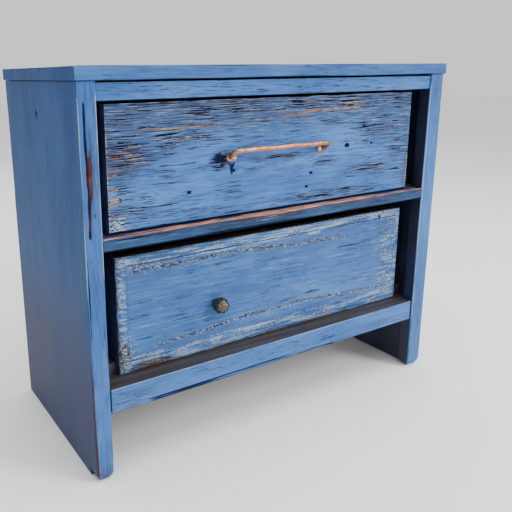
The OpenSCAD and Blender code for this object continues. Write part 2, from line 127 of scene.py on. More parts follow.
class Shader:
    """Builds one material's nodes by short calls that return output sockets"""

    def __init__(self, name):
        self.material = bpy.data.materials.new(name)
        self.material.use_nodes = True
        self.tree = self.material.node_tree
        self.surface = self.tree.nodes["Principled BSDF"]

    def put(self, socket, value):
        if isinstance(value, bpy.types.NodeSocket):
            self.tree.links.new(value, socket)
        elif hasattr(value, "__len__") and len(value) == 3 and len(socket.default_value) == 4:
            socket.default_value = (*value, 1)
        else:
            socket.default_value = value

    def node(self, kind, inputs=None, **settings):
        made = self.tree.nodes.new("ShaderNode" + kind)
        for key, value in settings.items():
            setattr(made, key, value)
        for socket, value in (inputs or {}).items():
            self.put(made.inputs[socket], value)
        return made

    def place(self, stretch=(1, 1, 1), shift=(0, 0, 0)):
        where = self.node("TexCoord").outputs["Object"]
        return self.node("Mapping", {"Vector": where, "Scale": stretch, "Location": shift}).outputs[0]

    def noise(self, where, scale, detail=3.0, rough=0.5, warp=0.0):
        return self.node("TexNoise", {"Vector": where, "Scale": scale, "Detail": detail,
                                      "Roughness": rough, "Distortion": warp}).outputs["Fac"]

    def math(self, operation, a, b, clamped=False):
        return self.node("Math", {0: a, 1: b}, operation=operation, use_clamp=clamped).outputs[0]

    def times(self, a, b, clamped=False):
        return self.math("MULTIPLY", a, b, clamped)

    def plus(self, a, b):
        return self.math("ADD", a, b)

    def minus(self, a, b):
        return self.math("SUBTRACT", a, b)

    def ramp(self, value, low, high, out_low=0.0, out_high=1.0):
        made = self.node("MapRange", {0: value, 1: low, 2: high, 3: out_low, 4: out_high},
                         interpolation_type="SMOOTHSTEP")
        return made.outputs[0]

    def mix(self, factor, a, b):
        made = self.node("Mix", data_type="RGBA")
        self.put(made.inputs[0], factor)
        self.put(made.inputs[6], a)
        self.put(made.inputs[7], b)
        return made.outputs[2]

    def attribute(self, name):
        return self.node("Attribute", attribute_name=name).outputs["Fac"]

    def bump(self, height, distance, strength=1.0, normal=None):
        inputs = {"Height": height, "Distance": distance, "Strength": strength}
        if normal is not None:
            inputs["Normal"] = normal
        return self.node("Bump", inputs).outputs[0]

    def finish(self, base, roughness, normal=None, **uniform):
        self.put(self.surface.inputs["Base Color"], base)
        self.put(self.surface.inputs["Roughness"], roughness)
        if normal is not None:
            self.put(self.surface.inputs["Normal"], normal)
        for socket, value in uniform.items():
            self.surface.inputs[socket.replace("_", " ")].default_value = value
        return self.material


def along(axis, across=1.0, lengthwise=0.06):
    """Stretches a pattern along the grain"""
    return tuple(lengthwise if i == "XYZ".index(axis) else across for i in range(3))


# ---- Materials ------------------------------------------------------------------------------

RED_BROWN = (0.24, 0.125, 0.085)  # the tan wood's darker part
OLIVE, DARK_OLIVE = (0.30, 0.27, 0.19), (0.10, 0.085, 0.055)  # bare wood on the moulded front
SHADOW_SOUND, SHADOW_RUBBED = (0.010, 0.044, 0.155), (0.022, 0.080, 0.220)  # painted shade: a darker copy of the blue for the faces that look sideways
GREY_CHALK = (0.40, 0.42, 0.37)  # flecks on the weathered front
OPEN_GRAIN_AND_SHADE = (0.032, 0.040, 0.062)  # paint between the lines of open grain, and painted shade with some dirt in the upper front's top band under the top rail
RIDGE_HIGHLIGHT = (0.72, 0.72, 0.68)  # painted highlight: bright metal on the crests of the knob's flutes, stronger on its upper side
COPPER_TARNISH, BRONZE_DARK, STEEL_DARK = (0.20, 0.13, 0.07), (0.022, 0.018, 0.012), (0.35, 0.35, 0.34)
TARNISH_RAMP = (0.045, 0.085, 0.0, 0.8)  # where along X the pull turns dull, and how far
PALE_FLOOR = (0.93, 0.93, 0.93)
WHITE = (1.0, 1.0, 1.0)


def painted(name, axis, woods, sound, rubbed, grain=0.5, chalky=0.6, shift=(0, 0, 0), faded=0.0, gloss=0.22,
            chalk=None, speckle=0.85):
    """Blue paint brushed along the grain, worn through to navy, chalk and bare wood.
    The piece's attributes say where: wear for bare wood, crack for open grain and dark lines (on the upper
    front also a painted shadow along its foot and beside the pull), open for open grain and for painted
    shade, pale for chalk and scuff for a fine mix of wood, chalk and dark specks."""
    s = Shader(name)
    t = tones()
    chalk = chalk or t.chalk
    plain = s.place(shift=shift)
    streak = s.noise(s.place(along(axis), shift), 300, 5, 0.62, 0.3)
    broad = s.noise(s.place(along(axis, 1, 0.35), shift), 14, 4, 0.55)
    fine = s.noise(plain, 480, 3, 0.6)
    blotch = s.noise(plain, 34, 4, 0.6)
    tint = s.plus(s.times(streak, 0.45), s.times(broad, 0.55))
    coat = s.mix(s.ramp(tint, 0.38, 0.64), sound, rubbed)
    coat = s.mix(s.times(s.ramp(fine, 0.45, 0.75), 0.25), coat, scaled(sound, 0.45))
    if faded:
        height = s.node("SeparateXYZ", {0: s.node("TexCoord").outputs["Object"]}).outputs["Z"]
        low = s.plus(s.ramp(height, 0.40, 0.05), s.times(s.minus(broad, 0.5), 1.2))
        coat = s.mix(s.times(s.ramp(low, 0.1, 0.9), faded), coat, t.dusk)
    hairs = s.noise(s.place(along(axis, 1, 0.045), shift), 620, 4, 0.7)
    opened = s.attribute("open")
    pores = s.ramp(s.noise(s.place(along(axis, 1, 0.05), shift), 560, 4, 0.7), 0.54, 0.66)
    patchy = s.ramp(s.noise(s.place(along(axis, 1, 0.3), shift), 26, 4, 0.6), 0.42, 0.66)
    grime = s.times(s.times(pores, s.plus(patchy, 0.15)), grain, True)
    coat = s.mix(grime, coat, t.paint_dark)
    # Open grain and painted shade: where open is high the paint turns a dark grey navy
    coat = s.mix(s.times(opened, 0.58), coat, OPEN_GRAIN_AND_SHADE)
    coat = s.mix(s.times(opened, s.ramp(hairs, 0.54, 0.62), True), coat, t.paint_dark)
    coat = s.mix(s.times(s.times(opened, 0.6), s.ramp(hairs, 0.42, 0.34)), coat, chalk)
    ragged = s.plus(s.times(s.minus(streak, 0.5), 1.2),
                    s.times(s.minus(fine, 0.5), 0.7))
    pale = s.plus(s.attribute("pale"), s.times(ragged, speckle))
    coat = s.mix(s.times(s.ramp(pale, 0.32, 0.70), chalky), coat, chalk)
    crack = s.plus(s.attribute("crack"), s.times(ragged, 0.5 * speckle))
    open_wood = s.ramp(crack, 0.22, 0.60)
    coat = s.mix(s.times(open_wood, 0.92), coat, scaled(t.paint_dark, 0.8))
    worn = s.plus(s.attribute("wear"), s.times(ragged, 0.5))
    timber = s.mix(s.ramp(blotch, 0.42, 0.58), woods[0], woods[1])
    timber = s.mix(s.ramp(streak, 0.52, 0.72), timber, scaled(woods[0], 0.35))
    timber = s.mix(s.times(s.ramp(hairs, 0.47, 0.58), 0.6), timber, scaled(t.maroon, 0.8))
    coat = s.mix(s.ramp(worn, 0.30, 0.44), coat, s.mix(0.5, t.paint_dark, t.maroon))
    coat = s.mix(s.ramp(worn, 0.50, 0.60), coat, timber)
    coat = s.mix(s.ramp(crack, 0.62, 0.90), coat, scaled(t.paint_dark, 0.8))
    scuff = s.attribute("scuff")
    dots = s.noise(s.place(along(axis, 1, 0.45), shift), 520, 3, 0.6)
    specks = s.noise(s.place(along(axis, 1, 0.5), (9, 9, 9)), 610, 3, 0.6)
    coat = s.mix(s.times(scuff, s.ramp(dots, 0.51, 0.57)), coat, woods[1])
    coat = s.mix(s.times(scuff, s.ramp(dots, 0.47, 0.41)), coat, chalk)
    coat = s.mix(s.times(scuff, s.ramp(specks, 0.51, 0.57)), coat, scaled(t.paint_dark, 0.9))
    lift = s.minus(s.times(streak, 0.6), grime)
    normal = s.bump(lift, 0.5 * MM, 0.8)
    normal = s.bump(s.ramp(worn, 0.40, 0.60), -0.35 * MM, 0.8, normal)
    s.put(s.surface.inputs["Specular IOR Level"], s.times(s.minus(1.0, open_wood), gloss))
    return s.finish(coat, s.ramp(worn, 0.3, 0.6, 0.46, 0.75), normal)


def navy_shade_coat(name, strength, shift=(0, 0, 0)):
    """Navy as painted shade on the faces that look inwards and in the gaps round the drawers, with the grain
    showing through
    """
    s = Shader(name)
    streak = s.noise(s.place((1, 1, 0.08), shift), 220, 5, 0.6)
    broad = s.noise(s.place((1, 1, 0.4), shift), 18, 3, 0.5)
    dark = scaled(tones().paint_dark, strength)
    tint = s.plus(s.times(streak, 0.5), s.times(broad, 0.5))
    base = s.mix(s.ramp(tint, 0.4, 0.68), scaled(dark, 0.6), scaled(dark, 2.2))
    return s.finish(base, s.ramp(streak, 0.3, 0.7, 0.5, 0.7), s.bump(streak, 0.3 * MM, 0.6))


def bare_wood(name, axis, light, shift=(0, 0, 0)):
    """Unpainted wood with growth rings stretched along the grain"""
    s = Shader(name)
    dark = scaled(light, 0.55)
    fibres = s.place(along(axis, 1, 0.05), shift)
    streak = s.noise(fibres, 240, 5, 0.6)
    rings = s.node("TexWave", {"Vector": s.place(along(axis, 1, 0.08), shift), "Scale": 28,
                               "Distortion": 6, "Detail": 2, "Detail Scale": 1.2},
                   wave_type="BANDS", bands_direction="DIAGONAL").outputs["Fac"]
    blotch = s.noise(s.place(shift=shift), 9, 3, 0.5)
    tint = s.plus(s.times(streak, 0.5),
                  s.plus(s.times(rings, 0.28), s.times(blotch, 0.3)))
    base = s.mix(s.ramp(tint, 0.30, 0.78), dark, light)
    normal = s.bump(s.plus(streak, s.times(rings, 0.4)), 0.35 * MM, 0.6)
    return s.finish(base, s.ramp(streak, 0.3, 0.7, 0.72, 0.56), normal)


def metal(name, light, dark, roughness, wear_scale=180, mottling=0.5, tarnish=None):
    """Aged metal: mottled colour and roughness over a fine uneven surface, with a painted highlight along the
    crests of a fluted knob
    """
    s = Shader(name)
    plain = s.place()
    mottle = s.noise(plain, wear_scale, 4, 0.6)
    fine = s.noise(plain, 900, 3, 0.5)
    if tarnish:
        across = s.node("SeparateXYZ", {0: s.node("TexCoord").outputs["Object"]}).outputs["X"]
        light = s.mix(s.ramp(across, *tarnish), light, dark)
    base = s.mix(s.times(s.ramp(mottle, 0.40, 0.68), mottling), light, dark)
    # Painted highlight: the knob's crests turn bright
    base = s.mix(s.attribute("ridge_highlight"), base, RIDGE_HIGHLIGHT)
    rough = s.ramp(mottle, 0.3, 0.7, roughness * 0.8, min(roughness * 1.6, 0.9))
    return s.finish(base, rough, s.bump(fine, 0.05 * MM, 0.5), Metallic=1.0)


def scaled(rgb, factor):
    return tuple(factor * c for c in rgb)


def make_material(name):
    t = tones()
    paint, light = tuple(t.paint), tuple(t.paint_light)
    orange, tan = tuple(t.orange_wood), tuple(t.tan_wood)
    woods = (orange, scaled(orange, 1.25))
    rust = (scaled(t.maroon, 0.8), scaled(orange, 0.28))
    tans = (scaled(tan, 1.05), RED_BROWN)
    recipes = {
        "paint_upright": lambda: painted(name, "Z", rust, paint, light, 0.6, 0.7, (3, 1, 0)),
        "paint_shaded": lambda: painted(name, "X", woods, scaled(paint, 0.17), scaled(light, 0.46), 1.6, 0.6,
                                        (2, 5, 7), gloss=0.15),
        # The sides: the blue with painted shade, darker than on the front
        "paint_side_shaded": lambda: painted(name, "Z", rust, SHADOW_SOUND, SHADOW_RUBBED, 0.5, 0.4, (7, 0, 3), 0.85,
                                      0.07),
        "paint_top": lambda: painted(name, "X", woods, scaled(paint, 0.8), scaled(light, 0.85), 0.8, 0.5,
                                     (0, 2, 9)),
        "paint_rail": lambda: painted(name, "X", rust, paint, light, 1.2, 0.4, (0, 5, 2), chalk=t.blue_chalk),
        "paint_weathered": lambda: painted(name, "X", tans, paint, scaled(light, 1.15), 1.0, 0.75, (4, 4, 1),
                                           chalk=GREY_CHALK),
        "paint_moulded": lambda: painted(name, "X", (OLIVE, DARK_OLIVE), paint, light, 0.8, 0.85, (6, 3, 5),
                                         chalk=t.blue_chalk, speckle=1.9),
        # Navy as painted shade: dark on the case's inward faces, lighter on the drawers' ends, sides and top
        # edge
        "case_navy_and_shade": lambda: navy_shade_coat(name, 0.75),
        "drawer_navy_and_shade": lambda: navy_shade_coat(name, 4.0, (3, 0, 5)),
        "pine_crosswise": lambda: bare_wood(name, "X", tuple(t.pine)),
        "pine_lengthwise": lambda: bare_wood(name, "Y", tuple(t.pine), (2, 0, 1)),
        "dark_lengthwise": lambda: bare_wood(name, "Y", scaled(t.stain, 1.2), (5, 0, 1)),
        "plywood_sheet": lambda: bare_wood(name, "X", tuple(t.plywood), (0, 1, 4)),
        "stain_and_shade": lambda: bare_wood(name, "X", tuple(t.stain), (1, 1, 0)),
        "aged_copper": lambda: metal(name, tuple(t.copper), COPPER_TARNISH, 0.40, 150, 0.6, TARNISH_RAMP),
        "dark_bronze": lambda: metal(name, tuple(t.bronze), BRONZE_DARK, 0.11, 60, 0.7),
        "zinc_steel": lambda: metal(name, tuple(t.steel), STEEL_DARK, 0.28),
        "dark_iron": lambda: metal(name, tuple(t.rust), scaled(t.rust, 0.4), 0.60),
    }
    return recipes[name]()


def use_material(piece, name):
    material = bpy.data.materials.get(name) or make_material(name)
    if piece.data.materials:
        for index in range(len(piece.data.materials)):
            piece.data.materials[index] = material
    else:
        piece.data.materials.append(material)


def finish_or_shade_faces(piece, name, *ways, behind=-FAR):
    """Gives the faces that look the given ways, behind a depth, another finish than the rest, mostly painted
    shade: navy on faces that look inwards, or the darker blue of the sides
    """
    piece.data.materials.append(bpy.data.materials.get(name) or make_material(name))
    for face in piece.data.polygons:
        if face.center.y > behind and any(face.normal.dot(Vector(way)) > 0.8 for way in ways):
            face.material_index = len(piece.data.materials) - 1


# ---- Modelling helpers ----------------------------------------------------------------------

def deselect():
    if bpy.context.mode != "OBJECT":
        bpy.ops.object.mode_set(mode="OBJECT")
    bpy.ops.object.select_all(action="DESELECT")


def only(piece):
    deselect()
    piece.select_set(True)
    bpy.context.view_layer.objects.active = piece


def place_in_mesh(piece):
    """Moves the object's place, turn and scale into its mesh"""
    only(piece)
    bpy.ops.object.transform_apply(location=True, rotation=True, scale=True)


def block(name, low, high):
    """A plain box between two corners, ready to be shaped"""
    deselect()
    low, high = Vector(low), Vector(high)
    bpy.ops.mesh.primitive_cube_add(size=1, location=(low + high) / 2, scale=high - low)
    piece = bpy.context.object
    piece.name = name
    place_in_mesh(piece)
    return piece


def edges_along(mesh, axis, longer_than):
    """Groups the straight edges along one axis by their length"""
    groups = {}
    for edge in mesh.edges:
        way = edge.verts[1].co - edge.verts[0].co
        if way.length > longer_than and abs(way[axis]) > 0.999 * way.length:
            groups.setdefault(round(way.length, 6), []).append(edge)
    return groups


def subdivide_along(piece, axis, spacing):
    """Cuts a piece's long straight edges along one axis at an even spacing"""
    only(piece)
    bpy.ops.object.mode_set(mode="EDIT")
    bpy.ops.mesh.select_mode(type="EDGE")
    for length in sorted(edges_along(bmesh.from_edit_mesh(piece.data), axis, 1.6 * spacing)):
        mesh = bmesh.from_edit_mesh(piece.data)
        bpy.ops.mesh.select_all(action="DESELECT")
        chosen = edges_along(mesh, axis, 1.6 * spacing).get(length, [])
        if not chosen:
            continue
        for edge in chosen:
            edge.select = True
        bmesh.update_edit_mesh(piece.data)
        bpy.ops.mesh.subdivide(number_cuts=round(length / spacing) - 1)
    bpy.ops.object.mode_set(mode="OBJECT")


def cut_planes(piece, axis, places):
    """Cuts a piece right through at each place along an axis"""
    only(piece)
    bpy.ops.object.mode_set(mode="EDIT")
    normal = tuple(1.0 if i == axis else 0.0 for i in range(3))
    for place in places:
        bpy.ops.mesh.select_all(action="SELECT")
        bpy.ops.mesh.bisect(plane_co=tuple(place * n for n in normal), plane_no=normal)
    bpy.ops.object.mode_set(mode="OBJECT")


def bevel_all(piece, width, segments=2, square=(), box=None):
    """Rounds every edge but the square ones, which are named by the two sides of the box that meet there"""
    only(piece)
    bpy.ops.object.mode_set(mode="EDIT")
    bpy.ops.mesh.select_mode(type="EDGE")
    bpy.ops.mesh.select_all(action="SELECT")
    for edge in bmesh.from_edit_mesh(piece.data).edges if square else ():
        middle = (edge.verts[0].co + edge.verts[1].co) / 2
        if min(arris_distances(middle, *box), key=lambda found: found[1])[0] in square:
            edge.select = False
    bpy.ops.mesh.bevel(offset=width, segments=segments, affect="EDGES")
    bpy.ops.object.mode_set(mode="OBJECT")


def cut_away(piece, low, high):
    """Removes a box from a piece"""
    cutter = block("cutter", low, high)
    only(piece)
    boolean = piece.modifiers.new("Cut", "BOOLEAN")
    boolean.object = cutter
    boolean.operation = "DIFFERENCE"
    boolean.solver = "EXACT"
    bpy.ops.object.modifier_apply(modifier=boolean.name)
    bpy.data.objects.remove(cutter, do_unlink=True)


def shade(piece, angle=35):
    only(piece)
    bpy.ops.object.shade_smooth_by_angle(angle=math.radians(angle))


def attach(piece, body, slot, *nodes):
    """Ties a finished piece to its body and hides the CAD nodes that it stands for; slot, its finish, is not
    used
    """
    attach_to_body(piece, body)
    if nodes:
        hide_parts(*nodes)


# ---- Wear and relief ------------------------------------------------------------------------

def mm(*values):
    return tuple(value * MM for value in values)


def clamp(value):
    return max(0.0, min(1.0, value))


def smooth(value, low, high):
    part = clamp((value - low) / (high - low))
    return part * part * (3 - 2 * part)


def field(x, y, z):
    """Noise between about -1 and 1"""
    return noise.noise(Vector((x, y, z)))


def near_edge(gap, reach):
    """1 on an edge, falling evenly to 0 at a distance from it"""
    return max(0.0, 1 - gap / reach)


def wave(point, across, lengthwise, axis, seed):
    """Noise between about -1 and 1, stretched along the grain"""
    scale = [across] * 3
    scale[axis] = lengthwise
    return noise.noise(Vector([point[i] * scale[i] for i in range(3)]) + Vector((seed, seed, seed)))


def arris_distances(point, low, high):
    """Distance from a point to each of a box's twelve edges, by the two sides that meet there"""
    gaps = [(point[i] - low[i], high[i] - point[i]) for i in range(3)]
    for i, j in ((0, 1), (0, 2), (1, 2)):
        for a in (0, 1):
            for b in (0, 1):
                yield ("xyz"[i] + "-+"[a] + "xyz"[j] + "-+"[b]), math.hypot(gaps[i][a], gaps[j][b])


def blob(point, mark, seed, axis):
    """How far inside a ragged oval mark a point is, from 0 outside to 1 at its middle"""
    centre, size, strength = mark
    span = math.sqrt(sum(((point[i] - centre[i]) / size[i]) ** 2 for i in range(3)))
    return strength * clamp(1.2 - span + 0.7 * wave(point, 330, 28, axis, seed))


def arris_key(point, low, high, axis):
    """The nearest of the four long edges of a plank, and how far it is"""
    best = None
    for key, gap in arris_distances(point, low, high):
        if "xyz"[axis] not in key and (best is None or gap < best[1]):
            best = (key, gap)
    return best


def seam(point, line, width):
    """How near a point on the front of a board is to a split that runs through (x, z) points"""
    best = FAR
    for (x0, z0), (x1, z1) in zip(line, line[1:]):
        run = Vector((x1 - x0, z1 - z0))
        part = clamp(((point.x - x0) * run.x + (point.z - z0) * run.y) / run.length_squared)
        best = min(best, math.hypot(point.x - x0 - part * run.x, point.z - z0 - part * run.y))
    return max(0.0, 1.15 - best / (width * (0.75 + 0.5 * field(5, 5, point.z * 40))))


def weather(piece, low, high, axis, seed, edges, marks=(), splits=(), seams=(), opened=()):
    """Gives a plank its uneven faces, rubbed edges, bare marks and splits, and records where they are.
    Everything moves inwards, so the plank never outgrows its box."""
    mesh = piece.data
    layers = {"bare": [], "dark": [], "pale": [], "open": []}
    normals = [vertex.normal.copy() for vertex in mesh.vertices]
    for vertex, normal in zip(mesh.vertices, normals):
        point = vertex.co.copy()
        amounts = {"bare": 0.0, "dark": 0.0, "pale": 0.0, "open": 0.0}
        key, gap = arris_key(point, low, high, axis)
        ragged = 0.75 + 0.9 * wave(point, 60, 9, axis, seed + 3)
        rubs = [rub for rub in edges if rub[0] == key] or [(key, "pale", 1.6 * MM, *WHOLE)]
        for rub_key, kind, reach, start, end in rubs:
            along_way = min(point[axis] - start, end - point[axis])
            ease = clamp(0.5 + along_way / (24 * MM))
            amount = 1.25 * ease - gap / (reach * max(0.2, ragged))
            amounts[kind] = max(amounts[kind], amount)
        for mark in marks:
            amounts["bare"] = max(amounts["bare"], blob(point, mark, seed, axis))
        split = max([blob(point, mark, seed + 7, axis) for mark in splits] or [0.0])
        if point.y < low.y + 6 * MM:
            split = max([split] + [seam(point, line, width) for line, width in seams])
        amounts["open"] = max([blob(point, mark, seed + 9, axis) for mark in opened] or [0.0])
        amounts["dark"] = max(amounts["dark"], split)
        hollow = 0.5 + 0.5 * wave(point, 45, 3.5, axis, seed)
        push = wood().unevenness * hollow + 0.6 * MM * smooth(amounts["bare"], 0, 1) \
            + 1.6 * MM * min(1, split)
        vertex.co = point - normal * push
        for kind, values in layers.items():
            values.append(clamp(amounts[kind]))
    for layer, kind in (("wear", "bare"), ("crack", "dark"), ("pale", "pale"), ("open", "open")):
        record(piece, layer, layers[kind])


def record(piece, name, values):
    layer = piece.data.attributes.new(name, "FLOAT", "POINT")
    layer.data.foreach_set("value", values)


def plank(name, node, axis, seed, material, edges=(), marks=(), splits=(), spacing=None, foot=0.0,
          cuts=(), body="case", slot="blue_paint", inside=(), lines=(), seams=(), opened=(), square=()):
    """A painted board that stands for a CAD node: bevelled, gridded, cut, rubbed and dented"""
    low, high = (Vector(corner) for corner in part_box(node))
    piece = block(name, low, high)
    bevel_all(piece, wood().arris, 2, square, (low, high))
    grid = spacing or wood().grid
    for line_axis, places in lines:
        cut_planes(piece, line_axis, places)
    for i in range(3):
        near = [side + sign * gap for side, sign in ((low[i], 1), (high[i], -1)) for gap in mm(3, 7)]
        if high[i] - low[i] > 18 * MM:
            cut_planes(piece, i, near)
        subdivide_along(piece, i, grid if i != axis else 1.6 * grid)
    if foot:
        cut_planes(piece, 2, [low.z + foot * part for part in (0.1, 0.25, 0.5, 0.75)])
        round_foot(piece, low, high, foot)
    for corner_low, corner_high in cuts:
        cut_away(piece, corner_low, corner_high)
    shade(piece)
    use_material(piece, material)
    if inside:
        # Painted shade: the faces that look inwards get navy
        finish_or_shade_faces(piece, "drawer_navy_and_shade" if body != "case" else "case_navy_and_shade", *inside)
    weather(piece, low, high, axis, seed, edges, marks, splits, seams, opened)
    attach(piece, body, slot, node)
    return piece


def round_foot(piece, low, high, radius):
    """Wears the lower end of an upright round"""
    middle = (low + high) / 2
    for vertex in piece.data.vertices:
        rise = vertex.co.z - low.z
        if rise < radius:
            inset = radius - math.sqrt(max(0.0, radius ** 2 - (radius - rise) ** 2))
            for i in (0, 1):
                reach = (high[i] - low[i]) / 2
                share = (vertex.co[i] - middle[i]) / reach
                vertex.co[i] -= share * abs(share) ** 2 * inset * 0.7


# ---- Case -----------------------------------------------------------------------------------

class DRESSER_OT_case(bpy.types.Operator):
    """Makes the top, sides, stiles and rails of the case"""
    bl_idname = "dresser.case"
    bl_label = "Case"

    def execute(self, context):
        plank("top_plank", "top_board", 0, 11, "paint_top", spacing=5 * MM, inside=((0, 0, -1),),
              edges=[("y-z+", "dark", 1.3 * MM, *WHOLE), ("y-z-", "dark", 1.6 * MM, *WHOLE),
                     ("y+z+", "dark", 3 * MM, *WHOLE)],
              splits=[((-0.353, 0.0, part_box("top_board")[1].z), mm(6, 160, 3.0), 0.8)])
        # Painted shade: the top's ends get the darker blue of the sides
        finish_or_shade_faces(bpy.data.objects["top_plank"], "paint_side_shaded", (-1, 0, 0), (1, 0, 0))
        self.sides()
        self.stiles()
        self.rails()
        return {"FINISHED"}

    def stiles(self):
        """Heights are taken from the underside of the bottom rail"""
        left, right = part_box("stile_left"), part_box("stile_right")
        edge, front = left[0].x, left[0].y
        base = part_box("bottom_rail")[0].z

        def spot(across, up):
            return edge + across * MM, front, base + up

        def line(*points):
            return [(edge + across * MM, base + up) for across, up in points]

        outer = plank(
            "left_stile", "stile_left", 2, 23, "paint_upright", foot=16 * MM, spacing=2.2 * MM,
            square=("x-y+",),
            lines=[(0, [edge + gap * MM for gap in (1.5, 4.5, 6, 7, 8, 9, 10, 11.5, 13, 14.5)])],
            edges=[("x-y-", "bare", 3.0 * MM, -0.090, base + 0.162),
                   ("x-y-", "pale", 2.0 * MM, base + 0.17, 0.56),
                   ("x+y-", "pale", 2.2 * MM, base + 0.20, 0.56), ("x+y-", "dark", 1.4 * MM, 0.02, 0.28),
                   ("x-y+", "pale", 0.1 * MM, *NOWHERE)],
            marks=[(spot(12, 0.345), mm(4.8, 10, 34), 0.95), (spot(9.5, 0.285), mm(2.4, 10, 26), 0.75)],
            splits=[(spot(14, 0.378), mm(1.2, 5, 16), 0.9), (spot(14.5, 0.335), mm(1.0, 5, 18), 0.8),
                    (spot(16.5, 0.296), mm(2.0, 5, 3.5), 1.0)],
            seams=[(line((8.5, 0.441), (8.0, 0.400), (9.0, 0.360), (10.0, 0.325), (8.4, 0.264)), 3.0 * MM),
                   (line((3.6, 0.240), (2.6, 0.150), (2.2, 0.020)), 1.0 * MM)],
            opened=[(spot(15, 0.36), mm(9, 9, 70), 0.85), (spot(12, 0.19), mm(8, 9, 40), 0.5),
                    ((edge + 13 * MM, front, 0.008), mm(22, 20, 18), 0.9)])
        # Painted shade: navy on the inner and back faces, and the darker blue of the sides on the outer face
        finish_or_shade_faces(outer, "case_navy_and_shade", (1, 0, 0), (0, 1, 0), behind=front + 4 * MM)
        finish_or_shade_faces(outer, "paint_side_shaded", (-1, 0, 0))
        outer = plank(
            "right_stile", "stile_right", 2, 37, "paint_upright", foot=16 * MM, spacing=3 * MM,
            square=("x+y+",),
            edges=[("x-y-", "pale", 1.8 * MM, 0.10, 0.56), ("x+y-", "dark", 1.6 * MM, *WHOLE),
                   ("x+y+", "pale", 0.1 * MM, *NOWHERE)],
            splits=[((right[0].x + 20 * MM, front, base + 0.23), mm(1.2, 5, 40), 0.7)],
            opened=[((right[0].x + 18 * MM, front, base + 0.44), mm(12, 9, 22), 0.7),
                    ((right[0].x + 12 * MM, front, base + 0.02), mm(10, 9, 90), 0.35)])
        # Painted shade: navy on the inner and back faces, and the darker blue of the sides on the outer face
        finish_or_shade_faces(outer, "case_navy_and_shade", (-1, 0, 0), (0, 1, 0), behind=front + 4 * MM)
        finish_or_shade_faces(outer, "paint_side_shaded", (1, 0, 0))

    def rails(self):
        low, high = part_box("middle_rail")
        front = low.y
        plank("upper_rail", "top_rail", 0, 41, "paint_rail", spacing=3 * MM,
              inside=((0, 0, -1), (0, 1, 0), (0, 0, 1)),
              edges=[("y-z-", "dark", 1.6 * MM, *WHOLE), ("y-z+", "dark", 1.2 * MM, *WHOLE)])
        plank("centre_rail", "middle_rail", 0, 43, "paint_shaded", spacing=2.2 * MM,
              inside=((0, 0, -1), (0, 1, 0)),
              edges=[("y-z+", "bare", 4.6 * MM, *WHOLE), ("y-z+", "bare", 6.4 * MM, -FAR, low.x + 110 * MM),
                     ("y-z-", "dark", 4.0 * MM, *WHOLE)],
              marks=[((0.0, front + 6 * MM, high.z), mm(420, 9, 4.0), 1.0)],
              splits=[((low.x + 50 * MM, front, high.z - 5 * MM), mm(60, 6, 0.9), 1.0),
                      ((0.21, front, high.z - 11 * MM), mm(40, 6, 1.4), 0.8)],
              opened=[((0.0, front, high.z - 8 * MM), mm(330, 8, 5), 0.8)])
        low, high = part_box("bottom_rail")
        plank("lower_rail", "bottom_rail", 0, 47, "paint_rail", spacing=2.4 * MM, inside=((0, 1, 0),),
              edges=[("y-z+", "pale", 2.4 * MM, *WHOLE), ("y-z-", "dark", 5.0 * MM, low.x + 60 * MM, 0.12),
                     ("y-z-", "dark", 1.6 * MM, *WHOLE)],
              marks=[((0.02, low.y, low.z), mm(110, 6, 2.0), 0.7)],
              seams=[([(x, low.z + up * MM) for x, up in
                       ((low.x + 62 * MM, 4.5), (-0.06, 5.5), (0.06, 3.5), (0.15, 4.0))], 1.7 * MM)],
              splits=[((low.x + 24 * MM, low.y, low.z + 22 * MM), mm(14, 6, 1.0), 0.8),
                      ((0.10, low.y, low.z + 14 * MM), mm(30, 6, 0.9), 0.6)],
              opened=[((low.x + 40 * MM, low.y, low.z + 16 * MM), mm(60, 8, 12), 0.5),
                      ((0.20, low.y, low.z + 12 * MM), mm(90, 8, 9), 0.4)])
        # Painted shade: the bottom rail's top gets the shelf's dark stain
        finish_or_shade_faces(bpy.data.objects["lower_rail"], "stain_and_shade", (0, 0, 1))

    def sides(self):
        """Each side panel keeps its rebate for the back and its housing for the runner"""
        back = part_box("back_panel")
        for side, way in (("left", -1), ("right", 1)):
            low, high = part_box("side_panel_" + side)
            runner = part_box("runner_" + side)
            rebate_low = Vector((back[0].x - TIGHT, back[0].y - TIGHT, back[0].z - TIGHT))
            rebate_high = Vector((back[1].x + TIGHT, high.y + THROUGH, high.z + THROUGH))
            outer = "x-" if way < 0 else "x+"
            # Painted shade: each side gets the darker blue, with navy on its inner and back faces
            plank(side + "_side", "side_panel_" + side, 2, 53 + 4 * way, "paint_side_shaded", spacing=5 * MM,
                  square=(outer + "y-",),
                  inside=((-way, 0, 0), (0, 1, 0)),
                  edges=[(outer + "y-", "pale", 0.1 * MM, *NOWHERE), (outer + "y+", "dark", 2.5 * MM, *WHOLE),
                         (outer + "y+", "bare", 3.5 * MM, 0.37, 0.53)],
                  splits=[((low.x, 0.010, high.z - 47 * MM), mm(6, 5, 7), 0.8)] if way < 0 else (),
                  cuts=[(rebate_low, rebate_high),
                        (runner[0] - Vector((TIGHT, THROUGH, TIGHT)),
                         runner[1] + Vector((TIGHT, THROUGH, TIGHT)))])


